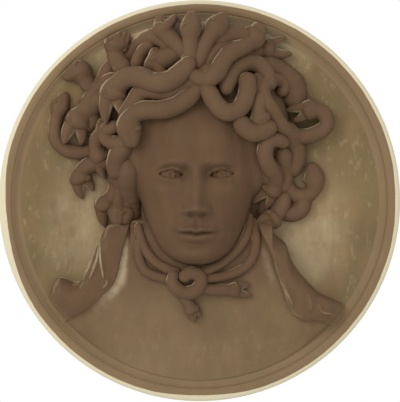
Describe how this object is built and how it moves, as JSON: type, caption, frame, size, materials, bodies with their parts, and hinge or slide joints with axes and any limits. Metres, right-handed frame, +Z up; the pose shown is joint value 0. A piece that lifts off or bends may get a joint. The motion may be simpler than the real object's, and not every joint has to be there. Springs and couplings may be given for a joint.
{
  "type": "gorgon roundel",
  "caption": "Round cast plaque for a wall: the head and shoulders of a gorgon in high relief, snakes for hair, inside a moulded rim, with a flat back.",
  "frame": {"origin": "centre of the flat back, on the wall's plane", "axes": "+Y out of the back into the wall, so the relief faces -Y; +Z up through the head; +X to the right as the figure is looked at"},
  "size_m": [0.5, 0.1131, 0.5],
  "materials": {
    "stained_plaster": "brown-stained cast plaster, dull, with a bare cream edge"
  },
  "bodies": {
    "root": {"gorgon_roundel": "stained_plaster"}
  },
  "joints": []
}
